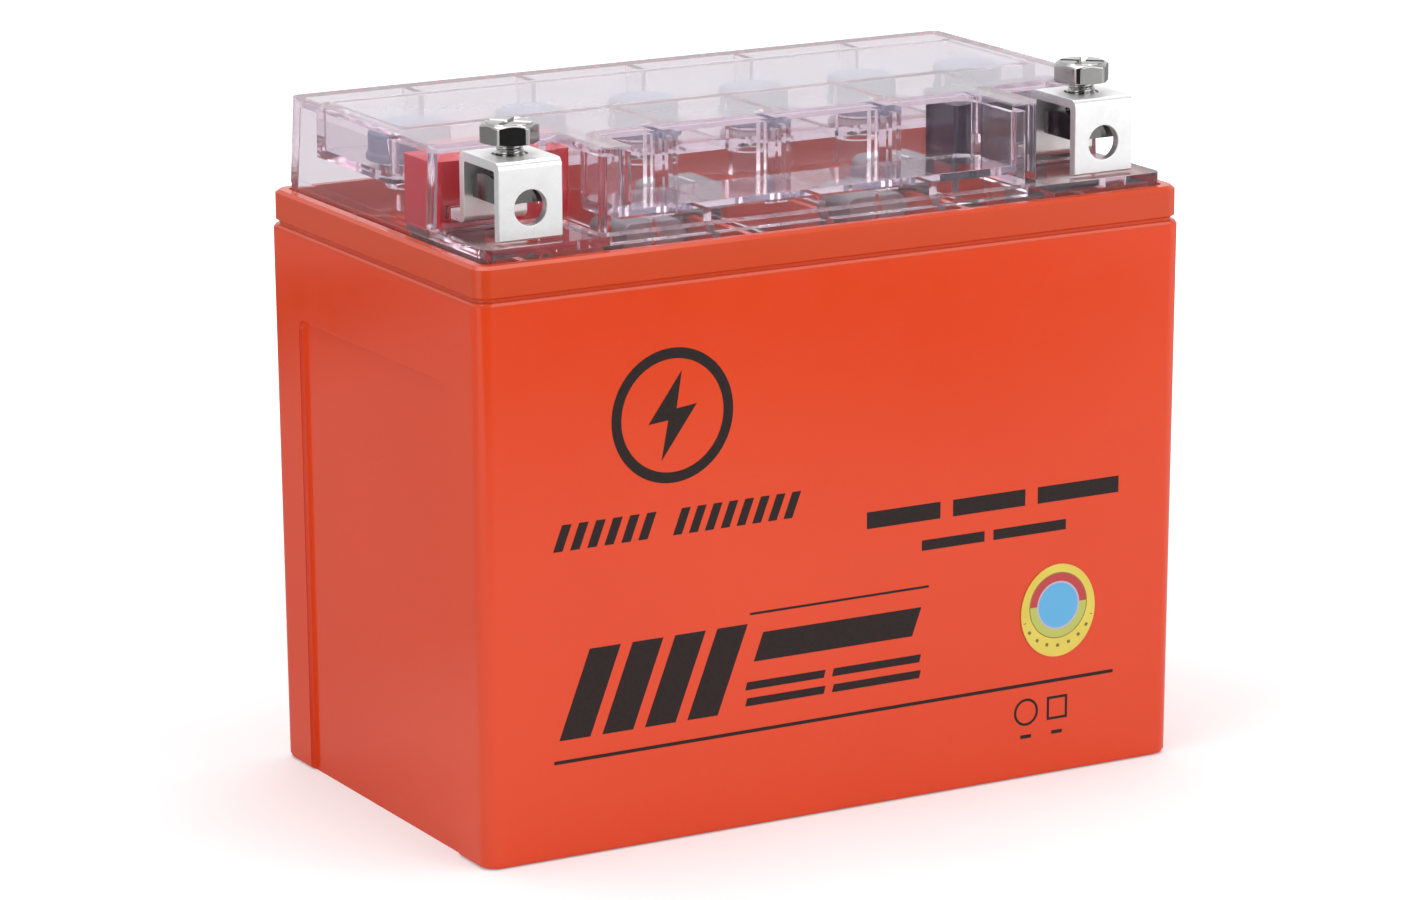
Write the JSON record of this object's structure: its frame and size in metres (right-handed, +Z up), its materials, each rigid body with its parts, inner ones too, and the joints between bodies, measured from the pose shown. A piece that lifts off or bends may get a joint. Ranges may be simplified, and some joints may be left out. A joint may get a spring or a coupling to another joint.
{
  "type": "motorcycle battery",
  "caption": "Sealed box-shaped motorcycle battery with a clear top cover and bracket terminals recessed at two corners.",
  "frame": {"origin": "middle of the underside", "axes": "+X along the length towards the negative terminal, +Y across the width towards the back, +Z up; the terminals face -Y"},
  "size_m": [0.15, 0.087, 0.1352],
  "materials": {
    "container_plastic": "glossy orange moulded plastic",
    "clear_plastic": "clear moulded plastic with a faint lilac tint",
    "label_film": "printed vinyl film",
    "terminal_plating": "bright satin tin plating",
    "fastener_plating": "bright nickel plating",
    "lead": "dull cast lead",
    "positive_resin": "deep red cast resin",
    "negative_resin": "blue-black cast resin",
    "valve_rubber": "matt blue-grey rubber",
    "positive_paste": "dark brown paste on a lead grid",
    "negative_paste": "grey paste on a lead grid",
    "separator_mat": "white glass-fibre mat"
  },
  "bodies": {
    "battery": {"container": "container_plastic", "top_cover": "clear_plastic", "vent_lid": "clear_plastic", "front_label": "label_film", "positive_terminal": "terminal_plating", "negative_terminal": "terminal_plating", "positive_post": "lead", "negative_post": "lead", "positive_post_seal": "positive_resin", "negative_post_seal": "negative_resin", "cell_1_positive_plates": "positive_paste", "cell_2_positive_plates": "positive_paste", "cell_3_positive_plates": "positive_paste", "cell_4_positive_plates": "positive_paste", "cell_5_positive_plates": "positive_paste", "cell_6_positive_plates": "positive_paste", "cell_1_negative_plates": "negative_paste", "cell_2_negative_plates": "negative_paste", "cell_3_negative_plates": "negative_paste", "cell_4_negative_plates": "negative_paste", "cell_5_negative_plates": "negative_paste", "cell_6_negative_plates": "negative_paste", "cell_1_separator": "separator_mat", "cell_2_separator": "separator_mat", "cell_3_separator": "separator_mat", "cell_4_separator": "separator_mat", "cell_5_separator": "separator_mat", "cell_6_separator": "separator_mat", "cell_link_1_2": "lead", "cell_link_2_3": "lead", "cell_link_3_4": "lead", "cell_link_4_5": "lead", "cell_link_5_6": "lead"},
    "positive_bolt": {"positive_bolt": "fastener_plating"},
    "positive_nut": {"positive_nut": "fastener_plating"},
    "negative_bolt": {"negative_bolt": "fastener_plating"},
    "negative_nut": {"negative_nut": "fastener_plating"},
    "vent_cap_1": {"cell_1_vent_cap": "valve_rubber"},
    "vent_cap_2": {"cell_2_vent_cap": "valve_rubber"},
    "vent_cap_3": {"cell_3_vent_cap": "valve_rubber"},
    "vent_cap_4": {"cell_4_vent_cap": "valve_rubber"},
    "vent_cap_5": {"cell_5_vent_cap": "valve_rubber"},
    "vent_cap_6": {"cell_6_vent_cap": "valve_rubber"}
  },
  "joints": [
    {"name": "positive_bolt_turn", "type": "hinge", "parent": "battery", "child": "positive_bolt", "pos_m": [-0.0609, -0.0294, 0.127], "axis": [0, 0, 1], "range_deg": [-541, 1801]},
    {"name": "positive_nut_travel", "type": "slide", "parent": "battery", "child": "positive_nut", "axis": [0, 0, 1], "range_m": [-0.005, 0.0015]},
    {"name": "negative_bolt_turn", "type": "hinge", "parent": "battery", "child": "negative_bolt", "pos_m": [0.0609, -0.0294, 0.127], "axis": [0, 0, 1], "range_deg": [-541, 1801]},
    {"name": "negative_nut_travel", "type": "slide", "parent": "battery", "child": "negative_nut", "axis": [0, 0, 1], "range_m": [-0.005, 0.0015]},
    {"name": "vent_cap_1_lift", "type": "slide", "parent": "battery", "child": "vent_cap_1", "axis": [0, 0, 1], "range_m": [0, 0.0006]},
    {"name": "vent_cap_2_lift", "type": "slide", "parent": "battery", "child": "vent_cap_2", "axis": [0, 0, 1], "range_m": [0, 0.0006]},
    {"name": "vent_cap_3_lift", "type": "slide", "parent": "battery", "child": "vent_cap_3", "axis": [0, 0, 1], "range_m": [0, 0.0006]},
    {"name": "vent_cap_4_lift", "type": "slide", "parent": "battery", "child": "vent_cap_4", "axis": [0, 0, 1], "range_m": [0, 0.0006]},
    {"name": "vent_cap_5_lift", "type": "slide", "parent": "battery", "child": "vent_cap_5", "axis": [0, 0, 1], "range_m": [0, 0.0006]},
    {"name": "vent_cap_6_lift", "type": "slide", "parent": "battery", "child": "vent_cap_6", "axis": [0, 0, 1], "range_m": [0, 0.0006]}
  ],
  "couplings": [
    {"joint": "positive_bolt_turn", "follows": "positive_nut_travel", "rad_per_m": -6283.2},
    {"joint": "negative_bolt_turn", "follows": "negative_nut_travel", "rad_per_m": -6283.2}
  ]
}
